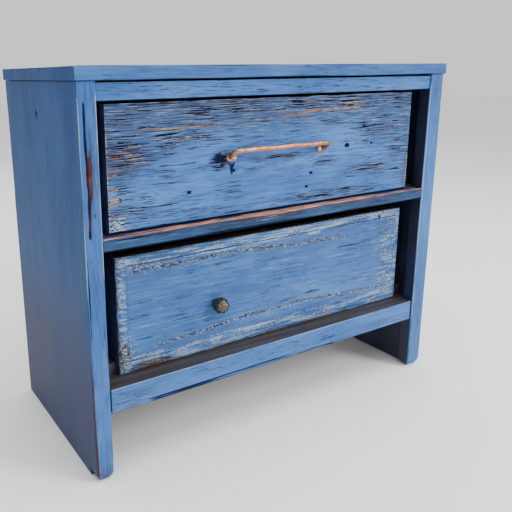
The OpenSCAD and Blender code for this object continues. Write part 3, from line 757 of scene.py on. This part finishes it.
class DRESSER_OT_inside(bpy.types.Operator):
    """Finishes the shelf, the back and the wooden parts that guide the drawers"""
    bl_idname = "dresser.inside"
    bl_label = "Inside"

    def execute(self, context):
        plank("shelf_board", "bottom_shelf", 0, 61, "stain_and_shade", spacing=8 * MM, slot="dark_stain")
        self.drawer_sides()
        for node, made in frame["nodes"].items():
            if node in ("back_panel", "upper_drawer_bottom", "lower_drawer_bottom"):
                use_material(made, "plywood_sheet")
            elif node.endswith("nails"):
                use_material(made, "dark_iron")
            elif node.endswith(("screws", "knob_screw")):
                use_material(made, "zinc_steel")
            elif node in ("rear_cleat", "rail_dowels") or node.endswith("drawer_back"):
                use_material(made, "pine_crosswise")
            # Dark stained wood; on the guides beside the lower drawer it also stands in for the shade in the
            # gaps
            elif node.startswith(("runner", "stop_block", "upper_guide", "lower_guide")):
                use_material(made, "dark_lengthwise")
            elif node.startswith(("kicker", "shelf_cleat")):
                use_material(made, "pine_lengthwise")
        return {"FINISHED"}

    def drawer_sides(self):
        """Each drawer side is painted navy outside, as painted shade for the gaps beside the fronts, and has
        a groove for the bottom inside
        """
        for drawer in ("upper_drawer", "lower_drawer"):
            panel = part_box(drawer + "_bottom")
            groove = (panel[0] - Vector((TIGHT, 2 * THROUGH, 0)),
                      panel[1] + Vector((TIGHT, 2 * THROUGH, TIGHT)))
            for side, way in (("left", -1), ("right", 1)):
                plank(drawer + "_" + side, drawer + "_side_" + side, 1, 71 + way, "pine_lengthwise",
                      spacing=7 * MM, body=drawer, slot="drawer_wood", inside=((way, 0, 0),), cuts=[groove])


# ---- Drawer fronts --------------------------------------------------------------------------

def drawer_joints(piece, drawer, low, high):
    """Cuts the laps and the groove in the back of a front"""
    for side in ("left", "right"):
        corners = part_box(drawer + "_side_" + side)
        outwards = THROUGH if side == "left" else 0
        cut_away(piece, corners[0] - Vector((outwards, 0, THROUGH)),
                 corners[1] + Vector((THROUGH - outwards, THROUGH, 0)))
    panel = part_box(drawer + "_bottom")
    cut_away(piece, panel[0] - Vector((TIGHT, TIGHT, TIGHT)), panel[1] + Vector((TIGHT, THROUGH, TIGHT)))


def fine_front(name, node, stretch):
    """A front with a fine grid on its face, closer up than across, and plain faces behind"""
    low, high = (Vector(corner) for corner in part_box(node))
    grid = wood().front_grid
    wide, tall, deep = high.x - low.x, high.z - low.z, high.y - low.y
    deselect()
    bpy.ops.mesh.primitive_grid_add(
        x_subdivisions=round(wide / (grid * stretch)), y_subdivisions=round(tall / grid), size=1,
        location=((low.x + high.x) / 2, low.y, (low.z + high.z) / 2), rotation=(math.radians(90), 0, 0))
    piece = bpy.context.object
    piece.name = name
    piece.scale = (wide, tall, 1)
    place_in_mesh(piece)
    bpy.ops.object.mode_set(mode="EDIT")
    bpy.ops.mesh.select_mode(type="EDGE")
    bpy.ops.mesh.select_all(action="DESELECT")
    bpy.ops.mesh.select_non_manifold()
    for step in (1.5 * MM, 2 * MM, 3 * MM, deep - 8 * MM, 1.5 * MM):
        bpy.ops.mesh.extrude_region_move(TRANSFORM_OT_translate={"value": (0, step, 0)})
    bpy.ops.mesh.edge_face_add()
    bpy.ops.mesh.select_all(action="SELECT")
    bpy.ops.mesh.normals_make_consistent(inside=False)
    bpy.ops.object.mode_set(mode="OBJECT")
    return piece, low, high


def hill(across, up, middle, rise, reach, height):
    """A soft mound on a front: 1 at its middle, falling off across and up"""
    return math.exp(-((across - middle) / reach) ** 2 - ((up - rise) / height) ** 2)


def grain(across, up, seed, closeness=560, length=17):
    """Long thin islands of noise that follow the wavy grain of a front"""
    bend = up + 2.4 * MM * field(across * 7, up * 12, 2.0) \
        + 0.9 * MM * field(across * 24, up * 30, 12.0)
    return field(across * length, bend * closeness, seed)


def finish_front(piece, drawer, slot, node, material, layers, top):
    """Records the wear, gives the ends, the back and the top edge a dark finish as painted shade for the gaps
    round the front, and ties the front to its drawer
    """
    for name, values in layers.items():
        record(piece, name, [clamp(value) for value in values])
    use_material(piece, material)
    # Painted shade: navy on the ends and the back, and a dark top edge, for the gaps round the front
    finish_or_shade_faces(piece, "drawer_navy_and_shade", (1, 0, 0), (-1, 0, 0), (0, 1, 0))
    finish_or_shade_faces(piece, top, (0, 0, 1))
    attach(piece, drawer, slot, node)


class DRESSER_OT_upper_front(bpy.types.Operator):
    """Makes the upper drawer's weathered plank with its open grain"""
    bl_idname = "dresser.upper_front"
    bl_label = "Upper front"

    # Where the grain has opened: middle across and up, reach across and up, and strength
    open_grain = (
        (0.30, 0.163, 0.60, 0.024, 0.90), (0.02, 0.110, 0.11, 0.055, 0.92), (0.10, 0.125, 0.14, 0.020, 0.85),
        (0.03, 0.030, 0.10, 0.030, 0.72), (0.52, 0.115, 0.11, 0.040, 0.80), (0.50, 0.048, 0.09, 0.016, 0.85),
        (0.57, 0.080, 0.05, 0.080, 0.70), (0.40, 0.013, 0.12, 0.009, 0.95), (0.29, 0.084, 0.09, 0.007, 1.00),
        (0.40, 0.070, 0.05, 0.012, 0.70), (0.16, 0.045, 0.14, 0.015, 0.50), (0.42, 0.133, 0.06, 0.008, 0.85),
        (0.183, 0.087, 0.022, 0.016, 1.35), (0.25, 0.105, 0.05, 0.010, 0.6), (0.20, 0.015, 0.20, 0.010, 0.55),
    )
    # Small dark holes and knots: across, up and radius
    holes = ((0.439, 0.091, 0.0034), (0.497, 0.091, 0.0020), (0.477, 0.121, 0.0026), (0.127, 0.045, 0.0022),
             (0.206, 0.070, 0.0020), (0.360, 0.052, 0.0022), (0.352, 0.030, 0.0020))

    def openness(self, across, up):
        total = 0.20
        for middle, rise, reach, height, strength in self.open_grain:
            total = max(total, strength * hill(across, up, middle, rise, reach, height))
        return total

    def streak(self, across, up):
        """The bare streak that runs across below the top edge"""
        path = 0.139 + 0.014 * smooth(across, 0.16, 0.42) + 3.5 * MM * field(across * 11, 4, 4)
        return math.exp(-((up - path) / (2.3 * MM)) ** 2) * smooth(across, 0.56, 0.40)

    def cracks(self, across, up, limit):
        """Open grain, the dark mark beside the pull with the pull's painted shadow, the small holes and a
        painted shadow line along the foot
        """
        lines = max(grain(across, up, 7.0, 700, 17), grain(across, up, 17.0, 1150, 26),
                    grain(across, up, 27.0, 480, 10) - 0.19)
        smear_and_pull_shadow = hill(across, up, 0.182, 0.088, 0.013, 0.013) \
            + 0.9 * hill(across, up, 0.205, 0.074, 0.012, 0.012)
        broken = smooth(field(across * 300, up * 50, 8.0), -0.25, 0.2)
        # The last term is a painted shadow line along the foot, above the middle rail
        crack = max(smooth(lines, limit, limit + 0.24), 0.95 * smear_and_pull_shadow * broken,
                    0.95 * smooth(up, 4.2 * MM, 1.8 * MM))
        for hole_across, hole_up, radius in self.holes:
            gap = math.hypot((across - hole_across) * 0.7, up - hole_up)
            crack = max(crack, 1.2 * smooth(gap, 1.5 * radius, 0.6 * radius))
        return crack

    def execute(self, context):
        piece, low, high = fine_front("upper_front", "upper_drawer_front", 4.6)
        wide, tall = high.x - low.x, high.z - low.z
        drawer_joints(piece, "upper_drawer", low, high)
        shade(piece, 60)
        layers = {"crack": [], "wear": [], "pale": [], "open": []}
        for vertex in piece.data.vertices:
            x, y, z = vertex.co
            across, up = x - low.x, z - low.z
            amount = self.openness(across, up) + 0.16 * field(across * 22, up * 50, 5.0)
            limit = 0.62 - 0.58 * amount
            ragged = field(x * 40, 1.0, z * 40)
            flecks = field(x * 330, 2.0, z * 330)
            corner = hill(across, up, 0.012, 0.006, 0.018, 0.020)
            border = min(across, wide - across, up + 9 * MM, tall - up)
            beside = grain(across, up + 1.3 * MM, 7.0, 700, 17)
            crack = max(self.cracks(across, up, limit), 0.9 * corner * smooth(-flecks, 0.15, 0.35))
            pale = max(0.50 * smooth(amount, 0.30, 0.85) * smooth(beside, limit - 0.12, limit + 0.10),
                       1.2 * corner * (0.55 + 1.3 * flecks),
                       near_edge(border, 1.8 * MM) * (0.55 + 0.6 * ragged))
            patch = hill(across, up, 0.004, 0.052, 0.016, 0.034) \
                + 0.8 * hill(across, up, 0.03, 0.10, 0.05, 0.02)
            wear = max(0.95 * self.streak(across, up) * smooth(grain(across, up, 31.0, 260, 12), -0.25, 0.15),
                       patch * smooth(grain(across, up, 41.0, 330, 14), -0.10, 0.30),
                       0.8 * smooth(amount, 0.55, 1.0) * smooth(grain(across, up, 51.0, 500, 10), 0.22, 0.42))
            if y < low.y + 0.5 * MM:
                fibre = 0.5 + 0.5 * grain(across, up, 61.0, 600, 20)
                vertex.co.y += wood().crack_depth * min(1.0, crack) + 0.25 * MM * fibre \
                    + 0.6 * MM * smooth(wear, 0.2, 1)
            layers["crack"].append(crack)
            layers["wear"].append(wear)
            layers["pale"].append(pale)
            # open: the open grain, painted shade with some dirt in the top band under the top rail, and a
            # darker ragged strip at the right end
            layers["open"].append(max(smooth(amount, 0.30, 1.0),
                                      0.95 * smooth(up, tall - 0.066, tall - 0.024),
                                      smooth(across, wide - 0.030, wide - 0.004) * (0.8 + ragged)))
        # The top edge gets navy as painted shade under the top rail
        finish_front(piece, "upper_drawer", "weathered_paint", "upper_drawer_front", "paint_weathered",
                     layers, "drawer_navy_and_shade")
        return {"FINISHED"}


class DRESSER_OT_lower_front(bpy.types.Operator):
    """Makes the lower drawer's smoother front with its moulded, rubbed edge"""
    bl_idname = "dresser.lower_front"
    bl_label = "Lower front"

    def fall(self, border, width):
        """How far the face stands back at a distance from the nearest edge"""
        w = wood()
        if border >= width:
            return 0.0
        rise = math.sqrt(max(0.0, 1 - (1 - border / width) ** 2))
        return w.moulding_fall - (w.moulding_fall - w.moulding_step) * rise

    def worn_line(self, across, up, wide, tall):
        """How near a point is to the worn lines inside the moulding, which bow away from the edges"""
        ragged = 2.2 * MM * field(across * 16, up * 16, 6.0)
        low_line = 0.034 + 0.012 * math.sin(math.pi * clamp((across - 0.06) / 0.48))
        high_line = tall - 0.023 - 0.010 * smooth(across, 0.18, 0.42)
        side_line = wide - 0.062
        near = 0.0
        if 0.02 < across < wide - 0.03:
            below = math.exp(-((up + ragged - low_line) / (3.4 * MM)) ** 2)
            above = math.exp(-((up + ragged - high_line) / (4.2 * MM)) ** 2)
            near = max(near, smooth(across, 0.03, 0.09) * below, smooth(across, 0.50, 0.42) * above)
        if 0.05 < up < tall - 0.02:
            near = max(near, 0.40 * math.exp(-((across + ragged - side_line) / (4.0 * MM)) ** 2))
        return near

    def execute(self, context):
        piece, low, high = fine_front("lower_front", "lower_drawer_front", 4.0)
        wide, tall = high.x - low.x, high.z - low.z
        drawer_joints(piece, "lower_drawer", low, high)
        narrow, broad = wood().moulding_width, wood().moulding_low_width
        layers = {"crack": [], "wear": [], "pale": [], "open": [], "scuff": []}
        for vertex in piece.data.vertices:
            x, y, z = vertex.co
            across, up = x - low.x, z - low.z
            side = max(0.0, min(across, wide - across, tall - up))
            under = max(0.0, up)
            border = min(side, under)
            ragged = field(x * 45, 3.0, z * 45)
            fine = field(x * 170, 9.0, z * 170)
            flecks = field(x * 380, 2.0, z * 380)
            lined = grain(across, up, 37.0, 420, 14)
            striped = grain(across, up, 47.0, 800, 12)
            dotted = smooth(field(x * 210, 5.0, z * 210) + 0.5 * ragged, -0.15, 0.25)
            fall = max(self.fall(side, narrow), self.fall(under, broad))
            near_step = near_edge(abs(side - narrow), 2.4 * MM) if under > broad else 0.0
            near_step = max(near_step, near_edge(abs(under - broad), 2.4 * MM) * (side > narrow) * 0.6)
            worn_line = self.worn_line(across, up, wide, tall)
            on_moulding = 1.0 if side < narrow or under < broad else 0.0
            right_band = smooth(across, wide - 0.066, wide - 0.040)
            corner = hill(across, up, 0.006, 0.030, 0.014, 0.026)
            crack = max(
                0.55 * near_step * smooth(ragged + 0.6 * fine, -0.35, 0.35), 0.62 * worn_line ** 3 * dotted,
                smooth(grain(across, up, 27.0, 300, 12), 0.50, 0.62) * 0.55,
                0.9 * corner * smooth(fine, 0.05, 0.3),
                0.9 * hill(across, up, 0.075, 0.004, 0.060, 0.011) * smooth(striped, 0.15, 0.3),
                0.5 * right_band * smooth(flecks, 0.30, 0.45),
                0.8 * hill(across, up, 0.535, tall - 0.010, 0.012, 0.006) * smooth(fine, -0.1, 0.2))
            pale = max(
                on_moulding * (0.43 + 0.16 * ragged + 0.18 * lined),
                near_edge(border, 2.2 * MM) * (0.75 + 0.5 * ragged),
                1.0 * hill(across, up, 0.014, tall - 0.010, 0.012, 0.009) * (0.9 + 0.8 * fine),
                0.8 * hill(across, up, 0.30, tall - 0.012, 0.22, 0.006) * (0.8 + lined),
                0.9 * hill(across, up, 0.54, tall - 0.010, 0.05, 0.006) * (0.8 + lined),
                right_band * (0.34 + 0.16 * fine + 0.2 * ragged), 1.0 * corner * (0.5 - 1.2 * flecks),
                1.2 * hill(across, up, 0.010, 0.008, 0.014, 0.010) * (0.6 + 1.2 * flecks))
            wear = max(
                0.0, 1.1 * corner * (0.45 + 1.2 * flecks),
                1.1 * hill(across, up, 0.055, 0.004, 0.040, 0.010) * (0.7 + 0.9 * striped),
                0.9 * hill(across, up, 0.36, 0.000, 0.20, 0.0035) * (0.8 + 1.2 * ragged),
                near_edge(border, 1.4 * MM) * (0.45 + 0.8 * ragged))
            if y < low.y + 0.5 * MM:
                vertex.co.y = low.y + fall + 0.8 * MM * crack + 0.25 * MM * (0.5 + 0.5 * fine)
            elif y < low.y + 7 * MM:
                vertex.co.y = max(y, low.y + fall + (y - low.y) * 0.1)
            mottled = 0.5 + field(x * 22, 7.0, z * 50)
            layers["crack"].append(crack)
            layers["wear"].append(wear)
            layers["pale"].append(pale)
            layers["scuff"].append(max(
                0.0, worn_line * (0.75 + 0.8 * lined), 0.9 * corner, 0.45 * right_band * (0.5 + ragged),
                0.42 * on_moulding * smooth(ragged + lined, -0.2, 0.5),
                0.7 * hill(across, up, 0.03, tall - 0.016, 0.03, 0.009)))
            layers["open"].append(max(0.0, 0.35 * on_moulding * (0.6 + ragged), right_band * 0.35,
                                      0.30 * mottled, 0.8 * worn_line, 0.9 * corner))
        shade(piece, 60)
        # The top edge gets the dark stain as painted shade under the middle rail
        finish_front(piece, "lower_drawer", "worn_paint", "lower_drawer_front", "paint_moulded",
                     layers, "stain_and_shade")
        return {"FINISHED"}


# ---- Pull and knob --------------------------------------------------------------------------

class DRESSER_OT_pull(bpy.types.Operator):
    """Makes the pull: a bent copper rod with hammered lugs"""
    bl_idname = "dresser.pull"
    bl_label = "Pull"

    radius: length("Rod radius", "Radius of the rod", 4 * MM)
    lug_radius: length("Lug radius", "Radius of the lugs' ends", 6 * MM)

    def execute(self, context):
        low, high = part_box("copper_pull")
        face = high.y
        span = (high.x - low.x) / 2 - self.lug_radius
        middle = (low.x + high.x) / 2
        bar = Vector((0, low.y + self.radius, high.z - self.radius))
        foot = Vector((0, face, low.z + self.lug_radius))
        rod = self.rod(middle, span, bar, foot)
        lugs = [self.lug(middle, span, way, foot) for way in (-1, 1)]
        only(rod)
        for lug in lugs:
            lug.select_set(True)
        bpy.ops.object.join()
        piece = bpy.context.object
        piece.name = "bent_pull"
        shade(piece, 50)
        use_material(piece, "aged_copper")
        attach(piece, "upper_drawer", "copper", "copper_pull")
        return {"FINISHED"}

    def rod(self, middle, span, bar, foot):
        """The rod runs along the bar, round two bends and down the leaning legs"""
        lean = (foot - bar).normalized()
        bend = 2 * self.radius
        half = [Vector((span - bend, 0, 0)) + bar]
        for step in range(1, 8):
            turn = math.radians(90 * step / 7)
            half.append(bar + Vector((span - bend + bend * math.sin(turn), 0, 0))
                        + lean * (bend * (1 - math.cos(turn))))
        half.append(foot + Vector((span, -1.0 * MM, 0.6 * MM)))
        across = [bar + Vector((span * part, 0, 0.5 * MM * math.sin(9 * part))) for part in
                  (-0.8, -0.6, -0.4, -0.2, 0.0, 0.2, 0.4, 0.6, 0.8)]
        mirrored = [Vector((-p.x, p.y, p.z)) for p in reversed(half)]
        points = [p + Vector((middle, 0, 0)) for p in mirrored + across + half]
        curve = bpy.data.curves.new("rod", "CURVE")
        curve.dimensions = "3D"
        curve.bevel_depth = self.radius
        curve.bevel_resolution = 5
        curve.use_fill_caps = True
        line = curve.splines.new("POLY")
        line.points.add(len(points) - 1)
        for point, place in zip(line.points, points):
            point.co = (*place, 1)
        rod = bpy.data.objects.new("rod", curve)
        bpy.context.scene.collection.objects.link(rod)
        only(rod)
        bpy.ops.object.convert(target="MESH")
        return bpy.context.object

    def lug(self, middle, span, way, foot):
        """A flat hammered end that lies on the drawer and reaches inwards to its screw"""
        inward = 7.5 * MM
        thick = 2.5 * MM
        deselect()
        bpy.ops.mesh.primitive_cylinder_add(
            vertices=32, radius=self.lug_radius, depth=thick, rotation=(math.radians(90), 0, 0),
            location=(middle + way * span, foot.y - thick / 2, foot.z))
        lug = bpy.context.object
        place_in_mesh(lug)
        for vertex in lug.data.vertices:
            if (vertex.co.x - middle - way * span) * way < 0:
                vertex.co.x -= way * inward
        bevel_all(lug, 0.6 * MM, 2)
        return lug


def lathe(name, profile, start, turns=48):
    """Spins a profile of (distance out from the face, radius) about a line along Y"""
    deselect()
    mesh = bpy.data.meshes.new(name)
    mesh.from_pydata([start + Vector((radius, -out, 0)) for out, radius in profile],
                     [(i, i + 1) for i in range(len(profile) - 1)], [])
    piece = bpy.data.objects.new(name, mesh)
    bpy.context.scene.collection.objects.link(piece)
    only(piece)
    bpy.ops.object.mode_set(mode="EDIT")
    bpy.ops.mesh.select_all(action="SELECT")
    bpy.ops.mesh.spin(steps=turns, angle=math.tau, center=start, axis=(0, 1, 0))
    bpy.ops.mesh.select_all(action="SELECT")
    bpy.ops.mesh.remove_doubles(threshold=0.00001)
    bpy.ops.mesh.normals_make_consistent(inside=False)
    bpy.ops.object.mode_set(mode="OBJECT")
    return piece


BALL_START = 130  # degrees round from the knob's outer end, where its ball leaves the neck


class DRESSER_OT_knob(bpy.types.Operator):
    """Makes the round turned knob"""
    bl_idname = "dresser.knob"
    bl_label = "Knob"

    lobes: bpy.props.IntProperty(name="Lobes", description="Shallow flutes around the knob", default=9)

    def execute(self, context):
        low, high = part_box("round_knob")
        start = Vector(((low.x + high.x) / 2, high.y, (low.z + high.z) / 2))
        ball = (high.x - low.x) / 2
        reach = high.y - low.y
        middle = reach - ball
        profile = [(0, 0), (0, 8.3 * MM), mm(1.0, 8.5), mm(2.0, 8.0), mm(2.6, 6.4),
                   mm(3.2, 5.5)]
        for angle in range(BALL_START, -1, -10):
            turn = math.radians(angle)
            profile.append((middle + ball * math.cos(turn), ball * math.sin(turn)))
        piece = lathe("turned_knob", profile, start, 96)
        ridge_highlights = []
        for vertex in piece.data.vertices:
            out = start.y - vertex.co.y
            turn = math.atan2(vertex.co.z - start.z, vertex.co.x - start.x)
            flute = 1.2 * MM * (0.5 - 0.5 * math.cos(self.lobes * turn)) * smooth(out, 4 * MM, 9 * MM)
            away = Vector((vertex.co.x - start.x, 0, vertex.co.z - start.z))
            # Painted highlight: bright metal along the crests of the flutes, stronger on the upper side
            crest = smooth(math.cos(self.lobes * turn), 0.05, 0.75)
            upper_highlight = 0.3 + 0.7 * smooth(math.sin(turn), -0.4, 0.3)
            ridge_highlights.append(crest * smooth(out, 12 * MM, 17 * MM) * smooth(away.length, 2 * MM, 4 * MM)
                          * smooth(away.length, 11.5 * MM, 8 * MM) * upper_highlight)
            if away.length > 1 * MM:
                vertex.co -= away.normalized() * flute * smooth(away.length, 1 * MM, 6 * MM)
        record(piece, "ridge_highlight", ridge_highlights)
        shade(piece, 40)
        use_material(piece, "dark_bronze")
        attach(piece, "lower_drawer", "dark_bronze", "round_knob")
        return {"FINISHED"}


# ---- Stage ----------------------------------------------------------------------------------

CAMERA_PLACE = Vector((-0.2749, -0.7145, 0.5772))  # from the left stile's lower outer corner
CAMERA_YAW, CAMERA_PITCH, CAMERA_ROLL = 0.5392, -0.2469, -0.0136
CAMERA_SHIFT = (0.139, -0.061)
LIGHT_AIM = Vector((0, 0, 0.3))
LIGHTS = (("key", (1.6, -2.3, 1.9), 1.0, 72), ("fill", (-2.4, -1.4, 1.2), 2.2, 3),  # name, place, size, watts
          ("above", (0.2, -0.5, 2.6), 2.4, 60), ("rear", (0.4, 2.4, 1.8), 2.0, 16))
WORLD_STRENGTH = 0.95


class DRESSER_OT_stage(bpy.types.Operator):
    """Sets the camera, the floor, the lights and the background"""
    bl_idname = "dresser.stage"
    bl_label = "Stage"

    lens: bpy.props.FloatProperty(name="Lens", description="Focal length in millimetres", default=42.25)

    def execute(self, context):
        self.camera(context)
        self.floor()
        self.lights(context)
        return {"FINISHED"}

    def camera(self, context):
        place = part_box("stile_left")[0] + CAMERA_PLACE
        yaw, pitch, roll = CAMERA_YAW, CAMERA_PITCH, CAMERA_ROLL
        data = bpy.data.cameras.new("Camera")
        data.lens = self.lens
        data.shift_x, data.shift_y = CAMERA_SHIFT
        camera = bpy.data.objects.new("Camera", data)
        ahead = Vector((math.sin(yaw) * math.cos(pitch), math.cos(yaw) * math.cos(pitch), math.sin(pitch)))
        right = Vector((math.cos(yaw), -math.sin(yaw), 0))
        up = right.cross(ahead)
        side = math.cos(roll) * right + math.sin(roll) * up
        top = -math.sin(roll) * right + math.cos(roll) * up
        turn = Matrix((side, top, -ahead)).transposed().to_4x4()
        camera.matrix_world = Matrix.Translation(place) @ turn
        context.scene.collection.objects.link(camera)
        context.scene.camera = camera

    def floor(self):
        deselect()
        bpy.ops.mesh.primitive_plane_add(size=24, location=(0, 0, -0.0005))
        ground = bpy.context.object
        ground.name = "floor"
        s = Shader("pale_floor")
        s.finish(PALE_FLOOR, 0.7)
        ground.data.materials.append(s.material)

    def lights(self, context):
        for name, place, size, power in LIGHTS:
            data = bpy.data.lights.new(name, "AREA")
            data.size = size
            data.energy = power
            light = bpy.data.objects.new(name, data)
            light.location = place
            aim = LIGHT_AIM - Vector(place)
            light.rotation_euler = aim.to_track_quat("-Z", "Y").to_euler()
            context.scene.collection.objects.link(light)
        world = bpy.data.worlds.new("studio")
        world.use_nodes = True
        background = world.node_tree.nodes["Background"]
        background.inputs[0].default_value = (*WHITE, 1)
        background.inputs[1].default_value = WORLD_STRENGTH
        context.scene.world = world


# ---- Panel and registration -----------------------------------------------------------------

STEPS = (DRESSER_OT_stage, DRESSER_OT_case, DRESSER_OT_inside, DRESSER_OT_upper_front,
         DRESSER_OT_lower_front, DRESSER_OT_pull, DRESSER_OT_knob)


class DRESSER_PT_panel(bpy.types.Panel):
    """Lists the steps that build the dresser"""
    bl_label = "Dresser"
    bl_space_type = "VIEW_3D"
    bl_region_type = "UI"
    bl_category = "Dresser"

    def draw(self, context):
        for name in DresserWood.__annotations__:
            self.layout.prop(context.scene.dresser_wood, name)
        for name in DresserColours.__annotations__:
            self.layout.prop(context.scene.dresser_colours, name)
        for step in STEPS:
            self.layout.operator(step.bl_idname)


CLASSES = (DresserWood, DresserColours, *STEPS, DRESSER_PT_panel)


def register():
    for made in CLASSES:
        bpy.utils.register_class(made)
    bpy.types.Scene.dresser_wood = bpy.props.PointerProperty(type=DresserWood)
    bpy.types.Scene.dresser_colours = bpy.props.PointerProperty(type=DresserColours)


def unregister():
    del bpy.types.Scene.dresser_colours
    del bpy.types.Scene.dresser_wood
    for made in reversed(CLASSES):
        bpy.utils.unregister_class(made)


def main():
    register()
    bpy.ops.dresser.stage()
    bpy.ops.dresser.case()
    bpy.ops.dresser.inside()
    bpy.ops.dresser.upper_front()
    bpy.ops.dresser.lower_front()
    bpy.ops.dresser.pull()
    bpy.ops.dresser.knob()


if __name__ == "__main__":
    main()
